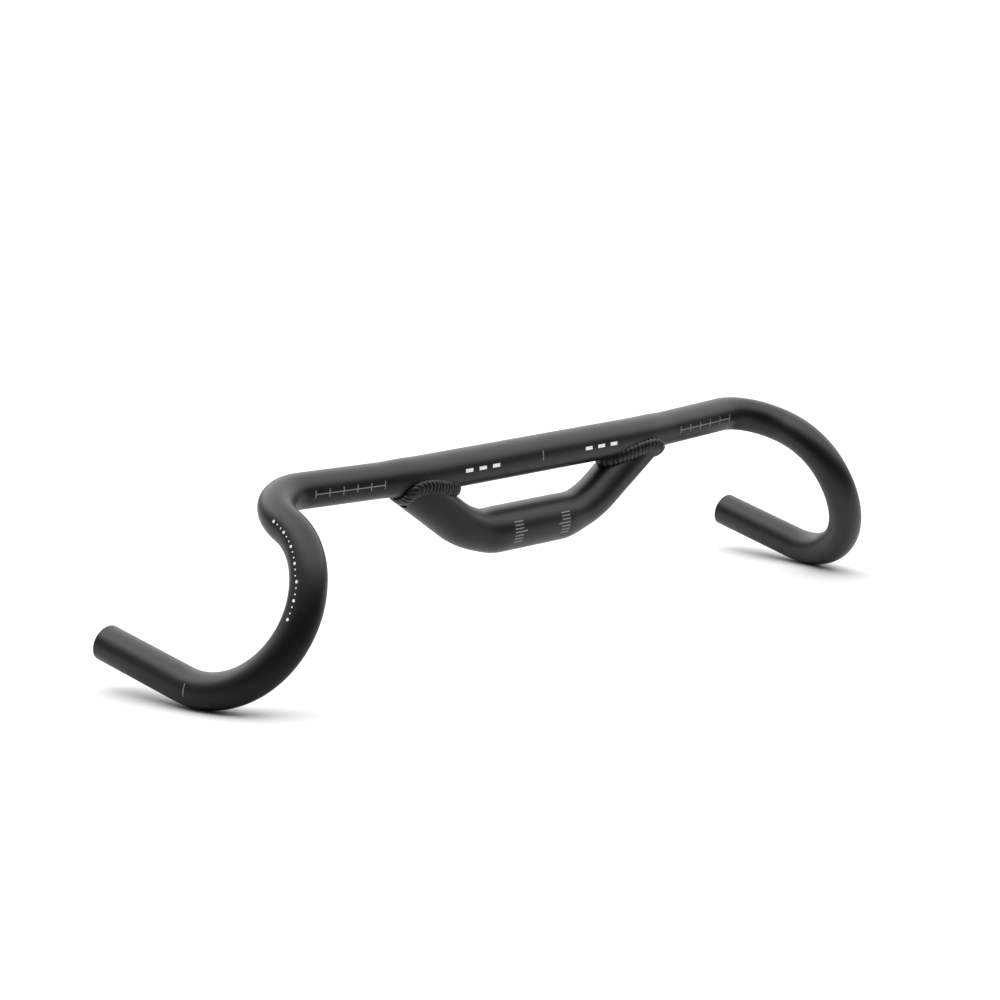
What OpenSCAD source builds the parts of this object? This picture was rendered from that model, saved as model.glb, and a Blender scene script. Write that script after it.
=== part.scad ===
// Drop handlebar with a welded riser.
// One bent tube makes the crossbar, the tops and both drops.  A second, thicker
// tube under its middle carries the stem and is welded up to the crossbar.
// Origin: middle of the stem clamp zone.  +X to the rider's left, -Y forward, +Z up.

/* [Tubes] */
// Outside diameter of the crossbar, between the tops
bar_d = 25.4; // [24.6:0.1:26]
// Outside diameter of the tops, ramps, hooks and drops
grip_d = 23.8; // [22.2:0.1:23.9]
// Wall thickness of the bent tube
bar_wall = 1.6; // [1.2:0.1:3]
// Outside diameter of the stem clamp zone
clamp_d = 31.8; // [31:0.1:32]
// Outside diameter of the riser's arms, above the clamp zone
arm_d = 28.6; // [27:0.1:29]
// Wall thickness of the riser tube
riser_wall = 1.8; // [1.5:0.1:3]

/* [Riser] */
// Height of the crossbar's axis above the clamp's axis
rise = 47.5; // [45:0.5:50]
// How far the crossbar sits in front of the clamp
bar_forward = 3; // [1:0.5:5]
// Half length of the full-diameter clamp zone
clamp_half = 28; // [26:1:30]
// Length over which the clamp zone narrows into an arm
taper_length = 7; // [6:1:9]
// Bend radius of the arms
arm_bend_r = 62; // [58:1:66]
// Bend angle of the arms
arm_bend = 35; // [33.5:0.5:36]
// Turn of the arm's bend towards the front
arm_roll = 2.5; // [0:0.5:4]

/* [Tops] */
// Half length of the straight crossbar
bar_half = 105; // [102:1:115]
// Radius of the slight sweep at the end of the crossbar
sweep_r = 230; // [150:10:300]
// Angle of that sweep
sweep = 3.5; // [2:0.5:6]
// Direction of that sweep, from straight back towards up
sweep_roll = 22; // [0:1:45]
// Length of the tops, from the sweep to the ramp bend
top_length = 91; // [88:0.5:100]
// The part of it over which the bar narrows to the grip diameter
neck_length = 26; // [20:1:28]

/* [Drops] */
// Radius of the bend from the tops into the ramp
ramp_r = 39; // [36:1:50]
// Angle of that bend
ramp_bend = 87; // [80:0.5:92]
// How far that bend is rolled below straight forward
ramp_roll = 21; // [15:1:30]
// Radius of the hook's upper bend
reach_r = 51; // [48:1:60]
// Angle of the hook's upper bend
reach_bend = 49.5; // [45:0.5:55]
// Outward roll of the hook's plane
reach_roll = 23; // [15:1:30]
// Radius of the hook
hook_r = 60; // [55:1:70]
// Angle of the hook
hook_bend = 119.5; // [110:0.5:125]
// Roll from the upper bend's plane to the hook's plane
hook_roll = 6; // [0:1:12]
// Straight length at the end of the drop
drop_length = 71; // [60:0.5:100]

/* [Welds and vents] */
// Thickness of the weld bead
bead_d = 8.4; // [7:0.1:9.5]
// Number of ripples around each weld
ripples = 38; // [34:1:44]
// Height at which the arm's ears end, below the crossbar's axis
ear_drop = 6; // [4:0.5:8]
// Diameter of the vent hole in each arm
vent_d = 4; // [3:0.1:5]
// Distance of the vent hole from the arm's bend
vent_at = 51; // [48:0.5:52]

/* [Print] */
// Thickness of the printed marks
ink = 0.08; // [0.05:0.01:0.15]
// Line width of the scale on the tops
fine_line = 0.7; // [0.5:0.1:1]
// Line width of the scales on the clamp zone
bold_line = 0.9; // [0.6:0.1:1.2]
// Ticks on each scale of the tops
tops_ticks = 6; // [3:1:6]
// Spacing of those ticks
tops_step = 11.75; // [10:0.25:12]
// Distance of the first tick from the end of the sweep
tops_start = 28.5; // [27:0.5:32]
// Height of those ticks
tops_tick = 5.5; // [4:0.5:8]
// Ticks on each scale of the clamp zone, the middle one longer
clamp_ticks = 7; // [3:2:9]
// Spacing of those ticks around the clamp zone
clamp_step = 2.4; // [2:0.1:3]
// Distance from the middle of the bar to the inner end of the long ticks
clamp_mark = 15.7; // [14:0.1:18]
// Dots on each lever scale, every third one bigger
dots = 19; // [7:3:22]
// Spacing of the dots
dots_step = 4.05; // [3.5:0.05:4.5]
// Where the dots lie around the hook, from its inside towards the outside
dots_turn = 87; // [80:1:95]

/* [Hidden] */
$fn = 64;
left = 1;          // the rider's left is +X
right = -1;
bar_r = bar_d / 2;
grip_r = grip_d / 2;
clamp_r = clamp_d / 2;
arm_r = arm_d / 2;
bead_r = bead_d / 2;
swell = 0.05;      // bends are this much thicker than straights, all round
lap = 0.5;         // how far a straight reaches into the bend beside it
gap = 1;           // straight left between two bends
over = 2;          // how far a cutting shape runs past an open end
arm_length = 80;   // straight arm, before it is cut to the crossbar
bead_out = 0.9;    // how far the bead's middle stands off the crossbar
bead_half = 12;    // half width of the bead's path, seen from below
bead_reach = 3.5;  // how far the path runs past the arm's outline at either end
tops_turn = 5;     // turn of the tops' scales from straight forward, downwards
clamp_turn = 3;    // the same for the clamp scales
centre_turn = -4;  // and for the centre mark, which sits a little above
big_dot = 1;
small_dot = 0.54;
dots_before = 1.7; // how far before the hook's upper bend the first dot is
plate_at = 59.5;   // middle of the plain mark on either side of the crossbar
plate_bars = 3;
plate_bar = 7;
plate_step = 13;
plate_height = 2.4;

black = [0.035, 0.036, 0.04];
weld_black = [0.06, 0.06, 0.065];
grey_ink = [0.45, 0.45, 0.45];
white_ink = [0.92, 0.92, 0.92];

// A bend programme, as a tube bender reads it.  Each step is one of
//   ["line", length, radius, radius at its end, length over which it narrows]
//   ["roll", angle]                     turns the next bends about the tube
//   ["bend", bend radius, angle, tube radius]
tops_steps = [
  ["roll", sweep_roll],
  ["bend", sweep_r, sweep, bar_r],
  ["roll", -sweep_roll],
  ["line", top_length, bar_r, grip_r, neck_length],
  ["roll", 180 + ramp_roll],
  ["bend", ramp_r, ramp_bend, grip_r],
  ["line", gap, grip_r, grip_r],
  ["roll", 90 + reach_roll]
];
hook_steps = [
  ["bend", reach_r, reach_bend, grip_r],
  ["line", gap, grip_r, grip_r],
  ["roll", hook_roll],
  ["bend", hook_r, hook_bend, grip_r],
  ["line", drop_length, grip_r, grip_r]
];
side_steps = concat(tops_steps, hook_steps);
arm_steps = [
  ["line", taper_length, clamp_r, arm_r, taper_length],
  ["roll", arm_roll],
  ["bend", arm_bend_r, arm_bend, arm_r],
  ["line", arm_length, arm_r, arm_r]
];

function step_length(step) =
  step[0] == "line" ? step[1] : step[0] == "bend" ? step[1] * step[2] * PI / 180 : 0;
function total(steps, i = 0) =
  i == len(steps) ? 0 : step_length(steps[i]) + total(steps, i + 1);

// Sweeping a tube.

// A straight that narrows and then runs on, as one turned shape.
module narrowing(step, inset, extra, turned) {
  rotate([0, 0, -turned])
    rotate_extrude()
      polygon([
        [0, -lap],
        [step[2] - inset, -lap],
        [step[2] - inset, lap],
        [step[3] - inset, step[4]],
        [step[3] - inset, step[1] + extra],
        [0, step[1] + extra]
      ]);
}

// Draws one step as a solid, thinner all round by inset.  What the rolls have turned
// so far is taken back, so that the seams of all the round faces are in one line.
module stretch(step, inset, extra, turned) {
  if (step[0] == "line" && step[2] == step[3])
    rotate([0, 0, -turned])
      translate([0, 0, -lap])
        cylinder(h = step[1] + lap + extra, r = step[2] - inset);
  if (step[0] == "line" && step[2] != step[3])
    narrowing(step, inset, extra, turned);
  if (step[0] == "bend")
    translate([step[1], 0, 0])
      rotate([90, 0, 180])
        rotate_extrude(angle = step[2])
          translate([step[1], 0])
            rotate(180 + turned)
              circle(r = step[3] + swell - inset);
}

// Moves children along one step by some length, as the tube goes.
module after(step, length) {
  if (step[0] == "line")
    translate([0, 0, length]) children();
  if (step[0] == "roll")
    rotate([0, 0, step[1]]) children();
  if (step[0] == "bend") {
    turn = length / step[1] * 180 / PI;
    translate([step[1] * (1 - cos(turn)), 0, step[1] * sin(turn)])
      rotate([0, turn, 0])
        children();
  }
}

// Draws a whole programme.  A bore runs past the last step's open end.
module run(steps, inset = 0, i = 0, turned = 0) {
  last = i == len(steps) - 1;
  stretch(steps[i], inset, !last ? lap : inset > 0 ? over : 0, turned);
  if (!last)
    after(steps[i], step_length(steps[i]))
      run(steps, inset, i + 1, turned + (steps[i][0] == "roll" ? steps[i][1] : 0));
}

// Puts children on the tube's axis, a distance along a programme.
module at(steps, distance, i = 0) {
  length = step_length(steps[i]);
  if (steps[i][0] != "roll" && distance <= length)
    after(steps[i], distance) children();
  else
    after(steps[i], length)
      at(steps, distance - length, i + 1)
        children();
}

// Puts children at the end of a programme.
module past(steps, i = 0) {
  if (i == len(steps))
    children();
  else
    after(steps[i], step_length(steps[i]))
      past(steps, i + 1)
        children();
}

module mirrored() {
  children();
  mirror([1, 0, 0]) children();
}

module on_side(side) {
  if (side == left)
    children();
  else
    mirror([1, 0, 0]) children();
}

// The end of the crossbar: the tube runs along local +Z and bends towards local +X.
module side_start() {
  translate([bar_half, -bar_forward, rise])
    rotate([90, 0, 90])
      children();
}

module hook_start() {
  side_start()
    past(tops_steps)
      children();
}

module arm_start() {
  translate([clamp_half, 0, 0])
    rotate([0, -90, 180])
      children();
}

// The two tubes.

module crossbar_solid(inset = 0) {
  translate([-bar_half - lap, -bar_forward, rise])
    rotate([90, 0, 90])
      cylinder(h = 2 * (bar_half + lap), r = bar_r - inset);
}

module bar_solid(inset = 0) {
  crossbar_solid(inset);
  mirrored()
    side_start()
      run(side_steps, inset);
}

module riser_solid(inset = 0) {
  translate([-clamp_half, 0, 0])
    rotate([0, -90, 180])
      cylinder(h = 2 * clamp_half, r = clamp_r - inset);
  mirrored()
    arm_start()
      run(arm_steps, inset);
}

// Everything above the height at which the arms' ears end.
module above_ears() {
  reach = 200;
  translate([-reach, -reach / 2, rise - ear_drop])
    cube([2 * reach, reach, reach]);
}

// A small hole through the outer wall of each arm lets the weld's gas out.
module vent() {
  arm_start()
    at(arm_steps, total(arm_steps) - arm_length + vent_at)
      rotate([0, -90, 0])
        translate([0, 0, arm_r / 2])
          cylinder(h = arm_r, d = vent_d);
}

module main_tube() {
  color(black)
    difference() {
      bar_solid();
      bar_solid(bar_wall);
    }
}

module riser_tube() {
  color(black)
    difference() {
      riser_solid();
      riser_solid(riser_wall);
      crossbar_solid();
      above_ears();
      mirrored() vent();
    }
}

// Welds.

// Where the arm's straight axis is, seen along Y: bent up by arm_bend from the clamp zone.
arm_x = clamp_half + taper_length + arm_bend_r * sin(arm_bend);
arm_z = arm_bend_r * (1 - cos(arm_bend));
weld_r = bar_r + bead_out;
bead_long = arm_r / sin(arm_bend) + bead_reach;

// The arm's outline where it meets the crossbar's underside, seen from below, is an
// ellipse.  The bead follows it, hanging under the crossbar.
function weld_y(turn) = bead_half * sin(turn);
function weld_z(turn) = rise - sqrt(weld_r * weld_r - pow(weld_y(turn), 2));
function weld_x(turn) =
  arm_x + (weld_z(turn) - arm_z) / tan(arm_bend) + bead_long * cos(turn);

module bead() {
  for (i = [0 : ripples - 1])
    let (turn = 360 * (i + 0.5) / ripples)
      translate([weld_x(turn), weld_y(turn) - bar_forward, weld_z(turn)])
        sphere(r = bead_r);
}

module weld(side) {
  color(weld_black)
    on_side(side)
      difference() {
        bead();
        crossbar_solid();
        difference() {
          riser_solid();
          above_ears();
        }
      }
}

// Printed marks, each a film of ink on the tube.

// A film around local Z, cut to the width and height of its children's boxes.
module film(radius, length) {
  intersection() {
    difference() {
      cylinder(h = length, r = radius + ink, center = true);
      cylinder(h = length + over, r = radius, center = true);
    }
    children();
  }
}

// A box that stands out of the film at a turn around it: size along Z, size around.
module stamp(radius, turn, along, around) {
  rotate([0, 0, turn])
    translate([radius, 0, 0])
      cube([radius, around, along], center = true);
}

// The middle of the crossbar, tube along local +Z, local +X straight forward.
module crossbar_middle() {
  translate([0, -bar_forward, rise])
    rotate([0, 90, 0])
      rotate([0, 0, -90])
        children();
}

module centre_mark() {
  height = 7;
  color(grey_ink)
    crossbar_middle()
      film(bar_r, bar_d)
        stamp(bar_r, centre_turn, fine_line, height);
}

// A plain row of bars on either side of the crossbar.
module plate_mark(side) {
  color(white_ink)
    crossbar_middle()
      translate([0, 0, side * plate_at])
        film(bar_r, plate_bars * plate_step)
          for (i = [0 : plate_bars - 1])
            translate([0, 0, (i - (plate_bars - 1) / 2) * plate_step])
              stamp(bar_r, 0, plate_bar, plate_height);
}

// The tops: film around the straight, with local +X turned to face forward.
module tops_scale(side) {
  span = (tops_ticks - 1) * tops_step;
  color(grey_ink)
    on_side(side)
      side_start()
        at(tops_steps, step_length(tops_steps[1]) + tops_start + span / 2)
          rotate([0, 0, 180])
            film(grip_r, span + tops_step) {
              union() {
                stamp(grip_r, tops_turn, span, fine_line);
                for (i = [0 : tops_ticks - 1])
                  translate([0, 0, i * tops_step - span / 2])
                    stamp(grip_r, tops_turn, fine_line, tops_tick);
              }
            }
}

module clamp_scale(side) {
  short = 8.4;
  long = 12;
  middle = (clamp_ticks - 1) / 2;
  degrees_per_step = clamp_step / clamp_r * 180 / PI;
  color(grey_ink)
    rotate([0, 90, 0])
      rotate([0, 0, -90])
        film(clamp_r, 2 * clamp_half)
          for (i = [0 : clamp_ticks - 1]) {
            tick = i == middle ? long : short;
            outer = clamp_mark + long;
            translate([0, 0, side * (outer - tick / 2)])
              stamp(clamp_r, (i - middle) * degrees_per_step + clamp_turn, tick, bold_line);
          }
}

module lever_dots(side) {
  color(white_ink)
    on_side(side)
      hook_start()
        for (i = [0 : dots - 1])
          at(hook_steps, i * dots_step - dots_before)
            rotate([0, 0, dots_turn])
              translate([grip_r + swell, 0, 0])
                rotate([0, 90, 0])
                  cylinder(h = ink, r = i % 3 == 0 ? big_dot : small_dot);
}

// A tick near the end of the hook, where a bar-end shifter or a cut would go.
module drop_mark(side) {
  height = 8;
  before_end = 10;
  color(grey_ink)
    on_side(side)
      hook_start()
        at(hook_steps, total(hook_steps) - drop_length - before_end)
          rotate([0, 0, dots_turn + 20])
            film(grip_r + swell, grip_r)
              stamp(grip_r, 0, fine_line, height);
}

main_tube();
riser_tube();
weld(left);  // weld_left
weld(right);  // weld_right
centre_mark();
plate_mark(left);  // plate_mark_left
plate_mark(right);  // plate_mark_right
tops_scale(left);  // tops_scale_left
tops_scale(right);  // tops_scale_right
clamp_scale(left);  // clamp_scale_left
clamp_scale(right);  // clamp_scale_right
lever_dots(left);  // lever_dots_left
lever_dots(right);  // lever_dots_right
drop_mark(left);  // drop_mark_left
drop_mark(right);  // drop_mark_right
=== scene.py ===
import math
import random

import bmesh
import bpy
from mathutils import Matrix, Vector


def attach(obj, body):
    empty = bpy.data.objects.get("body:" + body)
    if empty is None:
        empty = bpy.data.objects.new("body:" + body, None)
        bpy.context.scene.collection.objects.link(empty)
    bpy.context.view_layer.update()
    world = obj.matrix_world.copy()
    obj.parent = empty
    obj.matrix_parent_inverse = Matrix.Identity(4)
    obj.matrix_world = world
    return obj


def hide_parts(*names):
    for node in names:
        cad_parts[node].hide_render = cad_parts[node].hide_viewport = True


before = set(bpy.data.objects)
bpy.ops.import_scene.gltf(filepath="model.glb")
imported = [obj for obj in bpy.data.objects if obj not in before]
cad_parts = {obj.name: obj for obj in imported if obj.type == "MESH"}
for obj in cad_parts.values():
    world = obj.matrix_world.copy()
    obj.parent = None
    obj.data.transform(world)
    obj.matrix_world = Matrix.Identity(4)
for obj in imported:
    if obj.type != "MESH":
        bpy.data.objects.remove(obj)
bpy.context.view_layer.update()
scene = bpy.context.scene
mm = 0.001
print("frame loaded")


# Tubes are worked out in millimetres, up to the mesh.

def along(step, distance):
    if step[0] == "line":
        return Matrix.Translation((0, 0, distance))
    bendR = step[1]
    turn = distance / bendR
    shift = Matrix.Translation((bendR * (1 - math.cos(turn)), 0, bendR * math.sin(turn)))
    return shift @ Matrix.Rotation(turn, 4, "Y")


# Walks a bend programme and gives (distance, matrix) stations with the tube along local Z.
# Rolls are taken back in the stations, so that the rings don't twist against each other.
def walk(start, steps, spacing):
    stations = []
    here, turned, gone = start.copy(), 0.0, 0.0
    for step in steps:
        if step[0] == "roll":
            here = here @ Matrix.Rotation(math.radians(step[1]), 4, "Z")
            turned += math.radians(step[1])
            continue
        length = step[1] if step[0] == "line" else step[1] * math.radians(step[2])
        count = max(1, round(length / spacing))
        for i in range(1 if stations else 0, count + 1):
            distance = length * i / count
            matrix = here @ along(step, distance) @ Matrix.Rotation(-turned, 4, "Z")
            stations.append((gone + distance, matrix))
        here = here @ along(step, length)
        gone += length
    return stations


def ring(matrix, radius, segments):
    points = []
    for i in range(segments):
        turn = 2 * math.pi * i / segments
        points.append(matrix @ Vector((radius * math.cos(turn), radius * math.sin(turn), 0)))
    return points


def ease(t):
    t = min(max(t, 0.0), 1.0)
    return t * t * (3 - 2 * t)


# Joins rings of equal length into one skin; closed also joins the last ring to the first.
def skin(bm, rings, closed=False):
    rows = [[bm.verts.new(p * mm) for p in points] for points in rings]
    pairs = list(zip(rows, rows[1:]))
    if closed:
        pairs.append((rows[-1], rows[0]))
    for a, b in pairs:
        for i in range(len(a)):
            j = (i + 1) % len(a)
            bm.faces.new((a[i], a[j], b[j], b[i]))


# Adds the mirror image in X and closes the seam at x = 0.
def addMirror(bm):
    copied = bmesh.ops.duplicate(bm, geom=bm.verts[:] + bm.edges[:] + bm.faces[:])["geom"]
    verts = [g for g in copied if isinstance(g, bmesh.types.BMVert)]
    faces = [g for g in copied if isinstance(g, bmesh.types.BMFace)]
    for v in verts:
        v.co.x = -v.co.x
    bmesh.ops.reverse_faces(bm, faces=faces)
    bmesh.ops.remove_doubles(bm, verts=bm.verts[:], dist=1e-6)


def finishMesh(bm, name, sharpDegrees=35):
    bmesh.ops.recalc_face_normals(bm, faces=bm.faces[:])
    mesh = bpy.data.meshes.new(name)
    bm.to_mesh(mesh)
    bm.free()
    mesh.shade_smooth()
    mesh.set_sharp_from_angle(angle=math.radians(sharpDegrees))
    obj = bpy.data.objects.new(name, mesh)
    scene.collection.objects.link(obj)
    return obj


# Crossbar, tops, hooks and drops are one bent tube; the steps run from its middle to the left end.
tube = {
    "barR": 12.7, "gripR": 11.87, "wall": 1.57,
    "rise": 47.5, "forward": 3.0,   # where the crossbar is, from the clamp zone
    "neckFrom": 119.05, "neckLength": 26.0,   # where it narrows to the grip
    "spacing": 1.5, "segments": 96,
    "endChamfer": 0.35, "boreChamfer": 0.25,
    "boreStep": 4,                  # the bore takes every fourth station
    "steps": [
        ("line", 105.0),
        ("roll", 22), ("bend", 230.0, 3.5), ("roll", -22),
        ("line", 91.0),
        ("roll", 201), ("bend", 39.0, 87), ("line", 1.0),
        ("roll", 113), ("bend", 51.0, 49.5), ("line", 1.0),
        ("roll", 6), ("bend", 60.0, 119.5),
        ("line", 71.0),
    ],
}


def tubeRadius(distance):
    t = (distance - tube["neckFrom"]) / tube["neckLength"]
    return tube["barR"] + (tube["gripR"] - tube["barR"]) * ease(t)


def makeTube():
    start = Matrix((
        (0, 0, 1, 0),
        (1, 0, 0, -tube["forward"]),
        (0, 1, 0, tube["rise"]),
        (0, 0, 0, 1)))
    stations = walk(start, tube["steps"], tube["spacing"])
    end = stations[-1][1]
    segments = tube["segments"]
    chamfer, boreChamfer = tube["endChamfer"], tube["boreChamfer"]
    boreR = tube["gripR"] - tube["wall"]
    rings = [ring(m, tubeRadius(s), segments) for s, m in stations[:-1]]
    rings.append(ring(end @ Matrix.Translation((0, 0, -chamfer)), tube["gripR"], segments))
    rings.append(ring(end, tube["gripR"] - chamfer, segments))
    rings.append(ring(end, boreR + boreChamfer, segments))
    rings.append(ring(end @ Matrix.Translation((0, 0, -boreChamfer)), boreR, segments))
    inner = stations[-tube["boreStep"]::-tube["boreStep"]]
    if inner[-1][0] > 0:
        inner.append(stations[0])
    rings += [ring(m, tubeRadius(s) - tube["wall"], segments) for s, m in inner]
    bm = bmesh.new()
    skin(bm, rings)
    addMirror(bm)
    return finishMesh(bm, "bentTube")


bentTube = makeTube()
print("bent tube made")


# The riser carries the stem. Its arms end against the underside of the crossbar.
riser = {
    "clampR": 15.9, "armR": 14.2, "wall": 1.8,
    "clampHalf": 30.0, "bendR": 80.3, "bend": 33.84, "roll": 2.8,
    "taper": 23.5,            # the clamp zone narrows over the first part of the bend
    "sunk": 0.25,             # how far the coped end reaches into the bent tube
    "earDrop": 6.0,           # the ears stop this far under the crossbar's axis
    "earEnd": 125.5,          # and this far from the middle
    "armRings": 26, "spacing": 1.2, "segments": 120,
    "armStep": 4, "boreStep": 3,    # the inside has fewer rings than the outside
    "ventAt": 48.5, "ventR": 2.5, "ventTurn": 7.0,   # turned a little to the front
    "ventSegments": 40, "sharp": 35,
}


def riserRadius(distance):
    t = (distance - riser["clampHalf"]) / riser["taper"]
    return riser["clampR"] + (riser["armR"] - riser["clampR"]) * ease(t)


# How far a point on the arm runs along it until it meets the crossbar or the ears' height.
def armReach(point, direction):
    limit = min((tube["rise"] - riser["earDrop"] - point.z) / direction.z,
                (riser["earEnd"] - point.x) / direction.x)
    y, z = point.y + tube["forward"], point.z - tube["rise"]
    r = tube["barR"] - riser["sunk"]
    a = direction.y ** 2 + direction.z ** 2
    b = 2 * (y * direction.y + z * direction.z)
    c = y * y + z * z - r * r
    root = b * b - 4 * a * c
    if root <= 0:
        return limit
    return min(limit, (-b - math.sqrt(root)) / (2 * a))


def makeRiser():
    start = Matrix(((0, 0, 1, 0), (0, -1, 0, 0), (1, 0, 0, 0), (0, 0, 0, 1)))
    steps = [("line", riser["clampHalf"]), ("roll", riser["roll"]),
             ("bend", riser["bendR"], riser["bend"])]
    stations = walk(start, steps, riser["spacing"])
    segments, wall = riser["segments"], riser["wall"]
    end = stations[-1][1]
    direction = end.to_3x3() @ Vector((0, 0, 1))
    outerEnd = ring(end, riser["armR"], segments)
    innerEnd = ring(end, riser["armR"] - wall, segments)
    reach = [armReach(p, direction) for p in outerEnd]
    rings = [ring(m, riserRadius(s), segments) for s, m in stations]
    shares = [(i + 1) / riser["armRings"] for i in range(riser["armRings"])]
    for share in shares:
        rings.append([p + direction * (d * share) for p, d in zip(outerEnd, reach)])
    for share in reversed(shares[riser["armStep"] - 1::riser["armStep"]]):
        rings.append([p + direction * (d * share) for p, d in zip(innerEnd, reach)])
    inner = stations[::riser["boreStep"]]
    rings += [ring(m, riserRadius(s) - wall, segments) for s, m in reversed(inner)]
    bm = bmesh.new()
    skin(bm, rings)
    addMirror(bm)
    obj = finishMesh(bm, "riserTube")

    # the vent holes go through the lower wall of each arm
    bm = bmesh.new()
    vent = end @ Matrix.Translation((0, 0, riser["ventAt"]))
    vent = vent @ Matrix.Rotation(math.radians(-riser["ventTurn"]), 4, "Z")
    vent = vent @ Matrix.Rotation(math.radians(-90), 4, "Y")
    depths = (riser["armR"] - 2 * wall, riser["armR"] + wall)
    circles = [ring(vent @ Matrix.Translation((0, 0, d)), riser["ventR"], riser["ventSegments"])
               for d in depths]
    skin(bm, circles)
    # the second call alone would close the cutter; the first leaves a loose skin across the vent
    rims = [e for e in bm.edges if e.is_boundary]
    bmesh.ops.contextual_create(bm, geom=rims[:riser["ventSegments"]])
    bmesh.ops.holes_fill(bm, edges=[e for e in bm.edges if e.is_boundary], sides=0)
    addMirror(bm)
    cutter = finishMesh(bm, "ventCutter")
    cut = obj.modifiers.new("vents", "BOOLEAN")
    cut.operation, cut.solver, cut.object = "DIFFERENCE", "EXACT", cutter
    bpy.context.view_layer.objects.active = obj
    bpy.ops.object.modifier_apply(modifier=cut.name)
    bpy.data.objects.remove(cutter)
    obj.data.set_sharp_from_angle(angle=math.radians(riser["sharp"]))
    return obj


riserTube = makeRiser()
print("riser tube made")


# A weld bead runs around the end of each arm.
bead = {
    # half sizes of the bead's section: across its face and out of it
    "outerEnd": (3.9, 3.0), "flank": (5.4, 3.4), "throat": (5.3, 3.8),
    "off": 0.9, "toeOff": 1.2,   # its middle stands off the crossbar, more so at the outer end
    "toePower": 5, "throatPower": 2,     # how soon those two shapes fade along the flanks
    "half": 12.0, "reach": 3.5,
    "armX": 70.56, "armZ": 11.21, "armBend": 35.0, "armR": 14.3,
    "ripples": 40, "depth": 0.85, "bow": 2.2, "jitter": 0.16, "unevenness": (0.7, 1.15),
    "lean": 0.8, "groove": 2.6,  # crests a little off centre, narrow grooves
    "blunt": 1.5,                # how softly the outer end is shortened
    "calm": 0.75,                # how much the ripples fade at the outer end
    "stations": 760, "segments": 56, "sharp": 70,
}


def beadPoint(turn):
    r = tube["barR"] + bead["off"] + bead["toeOff"] * max(math.cos(turn), 0) ** bead["toePower"]
    y = bead["half"] * math.sin(turn)
    z = tube["rise"] - math.sqrt(r * r - y * y)
    armBend = math.radians(bead["armBend"])
    long = bead["armR"] / math.sin(armBend) + bead["reach"]
    x = bead["armX"] + (z - bead["armZ"]) / math.tan(armBend) + long * math.cos(turn)
    return Vector((x, y - tube["forward"], z))


# The bead turns its face half way between the outsides of the two tubes it joins.
def beadOutward(point, tangent):
    fromBar = Vector((0, point.y + tube["forward"], point.z - tube["rise"])).normalized()
    armBend = math.radians(bead["armBend"])
    axis = Vector((math.cos(armBend), 0, math.sin(armBend)))
    base = point - Vector((bead["armX"], 0, bead["armZ"]))
    fromArm = (base - axis * base.dot(axis)).normalized()
    out = fromBar + fromArm
    return (out - tangent * out.dot(tangent)).normalized()


# The bead is slim at its outer end, wide and flat on the flanks and full in the throat.
def beadSize(turn, taper):
    outer = max(math.cos(turn), 0) ** taper
    throat = min(math.cos(turn), 0) ** bead["throatPower"]
    return [e * outer + t * throat + f * (1 - outer - throat)
            for e, f, t in zip(bead["outerEnd"], bead["flank"], bead["throat"])]


# end is where the outer end stops and taper thins it, and both differ between two hand-made welds
def makeWeld(name, side, seed, end, taper):
    rng = random.Random(seed)
    turns = [2 * math.pi * i / bead["stations"] for i in range(bead["stations"])]
    points = [beadPoint(a) for a in turns]
    soft = bead["blunt"]
    for p in points:
        p.x = -soft * math.log(math.exp(-p.x / soft) + math.exp(-end / soft))
    steps = [(points[(i + 1) % len(points)] - p).length for i, p in enumerate(points)]
    length = sum(steps)
    edges = [i + rng.uniform(-1, 1) * bead["jitter"] for i in range(bead["ripples"])]
    depths = [bead["depth"] * rng.uniform(*bead["unevenness"]) for i in edges]
    edges.append(edges[0] + bead["ripples"])

    def relief(place):        # place counts ripples; 0 on a crest, down to -depth in a groove
        place = (place - edges[0]) % bead["ripples"] + edges[0]
        i = max(k for k in range(bead["ripples"]) if edges[k] <= place + 1e-9)
        share = (place - edges[i]) / (edges[i + 1] - edges[i])
        level = abs(2 * share ** bead["lean"] - 1) ** bead["groove"]
        deep = depths[i] + (depths[(i + 1) % len(depths)] - depths[i]) * share
        return -deep * level

    rings, gone = [], 0.0
    for i, p in enumerate(points):
        tangent = (points[(i + 1) % len(points)] - points[i - 1]).normalized()
        out = beadOutward(p, tangent)
        across = tangent.cross(out)
        half, high = beadSize(turns[i], taper)
        calm = 1 - bead["calm"] * max(math.cos(turns[i]), 0) ** taper
        row = []
        for k in range(bead["segments"]):
            turn = 2 * math.pi * k / bead["segments"]
            lag = bead["bow"] * (1 - math.cos(turn))
            dip = relief((gone - lag) / length * bead["ripples"]) * calm
            row.append(p + out * ((high + dip) * math.cos(turn))
                       + across * ((half + dip) * math.sin(turn)))
        rings.append(row)
        gone += steps[i]
    bm = bmesh.new()
    skin(bm, rings, closed=True)
    for v in bm.verts:
        v.co.x *= side
    return finishMesh(bm, name, bead["sharp"])


weldLeft = makeWeld("weldLeft", side=1, seed=11, end=127.0, taper=1.7)
weldRight = makeWeld("weldRight", side=-1, seed=23, end=124.0, taper=4)
print("welds made")


def newMaterial(name):
    material = bpy.data.materials.new(name)
    material.use_nodes = True
    nodes, links = material.node_tree.nodes, material.node_tree.links
    shader = nodes["Principled BSDF"]
    where = nodes.new("ShaderNodeTexCoord")
    return material, nodes, links, shader, where.outputs["Object"]


def addNoise(nodes, links, where, scale, detail=2.0, rough=0.5):
    noise = nodes.new("ShaderNodeTexNoise")
    noise.inputs["Scale"].default_value = scale
    noise.inputs["Detail"].default_value = detail
    noise.inputs["Roughness"].default_value = rough
    links.new(where, noise.inputs["Vector"])
    return noise.outputs["Fac"]


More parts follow.
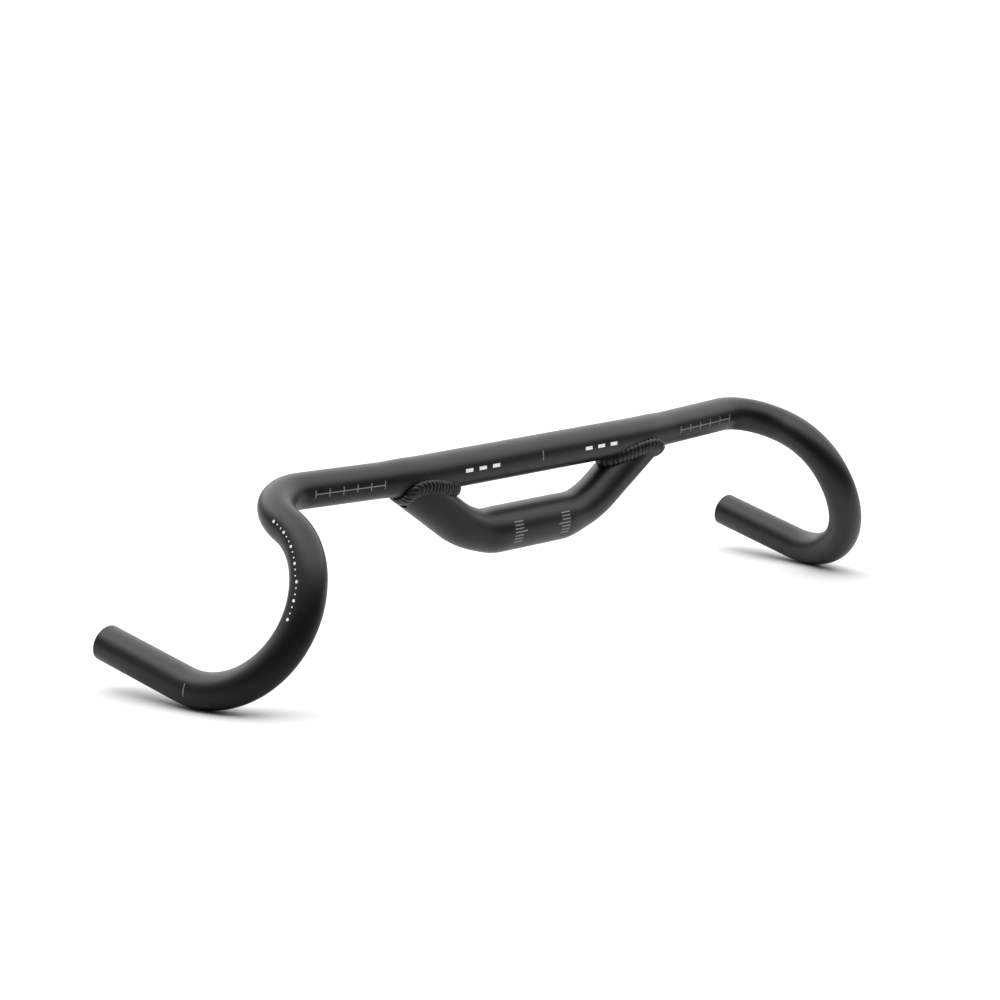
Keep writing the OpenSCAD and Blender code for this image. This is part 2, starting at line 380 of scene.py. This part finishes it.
def addRange(nodes, links, value, low, high, fromLow=0.3, fromHigh=0.7):
    node = nodes.new("ShaderNodeMapRange")
    node.inputs["From Min"].default_value = fromLow
    node.inputs["From Max"].default_value = fromHigh
    node.inputs["To Min"].default_value = low
    node.inputs["To Max"].default_value = high
    links.new(value, node.inputs["Value"])
    return node.outputs["Result"]


def addBlend(nodes, links, value, colourA, colourB):
    mix = nodes.new("ShaderNodeMix")
    mix.data_type = "RGBA"
    mix.inputs["A"].default_value = (*colourA, 1)
    mix.inputs["B"].default_value = (*colourB, 1)
    links.new(value, mix.inputs["Factor"])
    return mix.outputs["Result"]


def addBump(nodes, links, height, distance, strength):
    bump = nodes.new("ShaderNodeBump")
    bump.inputs["Distance"].default_value = distance
    bump.inputs["Strength"].default_value = strength
    links.new(height, bump.inputs["Height"])
    return bump.outputs["Normal"]


anodised = {
    "dark": (0.0042, 0.0042, 0.0044), "light": (0.0062, 0.0062, 0.0065),
    "rough": (0.355, 0.415),
    "patchScale": 45.0, "patchDetail": 4.0,
    "grainScale": 2600.0, "grainDetail": 3.0, "grainDepth": 0.00003, "grain": 0.8,
    "noiseRough": 0.6,
    "ior": 1.45,
}


def anodisedMaterial(name, look):
    material, nodes, links, shader, where = newMaterial(name)
    patches = addNoise(nodes, links, where, look["patchScale"], look["patchDetail"],
                       look["noiseRough"])
    grain = addNoise(nodes, links, where, look["grainScale"], look["grainDetail"],
                     look["noiseRough"])
    share = addRange(nodes, links, patches, 0, 1)
    colour = addBlend(nodes, links, share, look["dark"], look["light"])
    rough = addRange(nodes, links, patches, *look["rough"])
    normal = addBump(nodes, links, grain, look["grainDepth"], look["grain"])
    links.new(colour, shader.inputs["Base Color"])
    links.new(rough, shader.inputs["Roughness"])
    links.new(normal, shader.inputs["Normal"])
    shader.inputs["IOR"].default_value = look["ior"]
    return material


# the same finish over the rippled bead
weldLook = dict(anodised, dark=(0.0060, 0.0060, 0.0063), light=(0.0095, 0.0095, 0.0100),
                rough=(0.30, 0.38), patchScale=260.0, grainScale=2200.0, grain=0.25)

inkLook = {
    "grey": ((0.18, 0.18, 0.18), (0.23, 0.23, 0.23)),
    "white": ((0.74, 0.74, 0.73), (0.84, 0.84, 0.83)),
    "rough": (0.42, 0.58), "scale": 1500.0, "detail": 5.0, "noiseRough": 0.7,
    "bumpDepth": 0.00002, "bump": 0.4,
}


def inkMaterial(name, colours):
    material, nodes, links, shader, where = newMaterial(name)
    specks = addNoise(nodes, links, where, inkLook["scale"], inkLook["detail"],
                      inkLook["noiseRough"])
    share = addRange(nodes, links, specks, 0, 1)
    links.new(addBlend(nodes, links, share, *colours), shader.inputs["Base Color"])
    links.new(addRange(nodes, links, specks, *inkLook["rough"]), shader.inputs["Roughness"])
    normal = addBump(nodes, links, specks, inkLook["bumpDepth"], inkLook["bump"])
    links.new(normal, shader.inputs["Normal"])
    return material


blackMaterial = anodisedMaterial("blackAnodised", anodised)
weldMaterial = anodisedMaterial("weldBlack", weldLook)
greyInk = inkMaterial("greyInk", inkLook["grey"])
whiteInk = inkMaterial("whiteInk", inkLook["white"])


def dress(obj, material):
    obj.data.materials.clear()
    obj.data.materials.append(material)


pieces = [
    (bentTube, blackMaterial, "tube_black", "main_tube"),
    (riserTube, blackMaterial, "tube_black", "riser_tube"),
    (weldLeft, weldMaterial, "weld_black", "weld_left"),
    (weldRight, weldMaterial, "weld_black", "weld_right"),
]
for piece, material, slotName, node in pieces:
    dress(piece, material)
    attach(piece, "root")
    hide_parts(node)

whiteNodes = ("plate_mark", "lever_dots")
for name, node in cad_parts.items():
    if "mark" in name or "scale" in name or "dots" in name:
        dress(node, whiteInk if name.startswith(whiteNodes) else greyInk)
print("materials set")


# Pale floor whose colour is painted darker towards the front, in reflections only (painted shade),
# and a soft sky that is dark low down in front.
studio = {
    "floorHalf": 60.0, "floorColour": (0.78, 0.78, 0.78), "floorRough": 0.9,
    "cloudScale": 3.0, "cloud": 1.01,    # a trace of unevenness on the floor
    # how high along skyLean and how bright there
    "sky": [(0.0, 0.01), (0.29, 0.03), (0.455, 0.8), (0.565, 2.0), (0.8, 1.85), (1.0, 1.7)],
    "horizon": 0.42, "horizonTop": 0.35,  # how much of it is left at the horizon, and up to where
    "skyLean": (0.45, 0.25, 1.0),        # the soft light leans to this side
    "left": 1.7, "right": 1.0,           # and it is brighter on the left
    "leftAt": -0.5, "rightAt": 0.7,
    # painted shade: in reflections only, the floor's colour is darkened towards this side, and a
    # little everywhere else
    "front": (-0.5, -1.0, 0.0),           # the floor is dim towards here, in reflections only
    "frontFrom": 0.0, "frontTo": 0.32, "frontPaintedShade": 0.10, "overallPaintedShade": 0.15,
    "backGlow": 0.14, "backAt": 0.65,    # light low down behind
}


def makeFloor():
    lowest = min((bentTube.matrix_world @ v.co).z for v in bentTube.data.vertices)
    bm = bmesh.new()
    half = studio["floorHalf"]
    corners = ((-half, -half), (half, -half), (half, half), (-half, half))
    bm.faces.new([bm.verts.new((x, y, lowest)) for x, y in corners])
    floor = finishMesh(bm, "floor")
    material, nodes, links, shader, where = newMaterial("paleFloorWithPaintedShade")
    cloud = addNoise(nodes, links, where, studio["cloudScale"])
    base = studio["floorColour"]
    colour = addBlend(nodes, links, cloud, base, tuple(c * studio["cloud"] for c in base))
    # painted shade: for glossy rays only, the floor's colour is blended towards a tenth of itself,
    # fully towards the front and by 15% elsewhere, so reflections of it come out darker
    ahead = nodes.new("ShaderNodeVectorMath")
    ahead.operation = "DOT_PRODUCT"
    ahead.inputs[1].default_value = studio["front"]
    links.new(where, ahead.inputs[0])
    dim = addRange(nodes, links, ahead.outputs["Value"], studio["overallPaintedShade"], 1,
                   studio["frontFrom"], studio["frontTo"])
    ray = nodes.new("ShaderNodeLightPath")
    share = nodes.new("ShaderNodeMath")
    share.operation = "MULTIPLY"
    links.new(dim, share.inputs[0])
    links.new(ray.outputs["Is Glossy Ray"], share.inputs[1])
    mix = nodes.new("ShaderNodeMix")
    mix.data_type = "RGBA"
    links.new(share.outputs["Value"], mix.inputs["Factor"])
    links.new(colour, mix.inputs["A"])
    mix.inputs["B"].default_value = (*(c * studio["frontPaintedShade"] for c in base), 1)
    links.new(mix.outputs["Result"], shader.inputs["Base Color"])
    shader.inputs["Roughness"].default_value = studio["floorRough"]
    shader.inputs["Specular IOR Level"].default_value = 0.0
    dress(floor, material)


def makeSky():
    world = bpy.data.worlds.new("studio")
    scene.world = world
    world.use_nodes = True
    nodes, links = world.node_tree.nodes, world.node_tree.links
    where = nodes.new("ShaderNodeTexCoord")
    height = nodes.new("ShaderNodeVectorMath")
    height.operation = "DOT_PRODUCT"
    height.inputs[1].default_value = Vector(studio["skyLean"]).normalized()
    links.new(where.outputs["Generated"], height.inputs[0])
    ramp = nodes.new("ShaderNodeValToRGB")
    ramp.color_ramp.interpolation = "EASE"
    stops = studio["sky"]
    top = max(level for _, level in stops)
    while len(ramp.color_ramp.elements) < len(stops):
        ramp.color_ramp.elements.new(0.5)
    for element, (place, level) in zip(ramp.color_ramp.elements, stops):
        element.position = place
        element.color = (level / top, level / top, level / top, 1)
    links.new(height.outputs["Value"], ramp.inputs["Fac"])
    split = nodes.new("ShaderNodeSeparateXYZ")
    links.new(where.outputs["Generated"], split.inputs["Vector"])
    level = addRange(nodes, links, split.outputs["Z"], studio["horizon"] * top, top,
                     0.0, studio["horizonTop"])
    glow = addRange(nodes, links, split.outputs["Y"], 0.0, studio["backGlow"],
                    0.0, studio["backAt"])
    brighter = nodes.new("ShaderNodeMath")
    brighter.operation = "MAXIMUM"
    links.new(ramp.outputs["Color"], brighter.inputs[0])
    links.new(glow, brighter.inputs[1])
    background = nodes["Background"]
    links.new(brighter.outputs["Value"], background.inputs["Color"])
    side = addRange(nodes, links, split.outputs["X"], studio["left"], studio["right"],
                    studio["leftAt"], studio["rightAt"])
    share = nodes.new("ShaderNodeMath")
    share.operation = "MULTIPLY"
    links.new(level, share.inputs[0])
    links.new(side, share.inputs[1])
    links.new(share.outputs["Value"], background.inputs["Strength"])


eye = {
    "azimuth": -47.12, "height": 10.56, "distance": 2222.2,
    "across": -17.88, "up": 15.51,
    "lens": 117.6, "sensor": 36.0, "farthest": 200,   # farthest in metres, to take in the floor
}


def makeCamera():
    a, e = math.radians(eye["azimuth"]), math.radians(eye["height"])
    back = Vector((math.sin(a) * math.cos(e), -math.cos(a) * math.cos(e), math.sin(e)))
    right = Vector((math.cos(a), math.sin(a), 0))
    up = back.cross(right)
    data = bpy.data.cameras.new("camera")
    data.lens, data.sensor_width, data.clip_end = eye["lens"], eye["sensor"], eye["farthest"]
    camera = bpy.data.objects.new("camera", data)
    scene.collection.objects.link(camera)
    place = right * eye["across"] + up * eye["up"] + back * eye["distance"]
    camera.matrix_world = Matrix((
        (right.x, up.x, back.x, place.x * mm),
        (right.y, up.y, back.y, place.y * mm),
        (right.z, up.z, back.z, place.z * mm),
        (0, 0, 0, 1)))
    scene.camera = camera


makeFloor()
makeSky()
makeCamera()
scene.view_settings.view_transform = "Standard"
print("stage set")
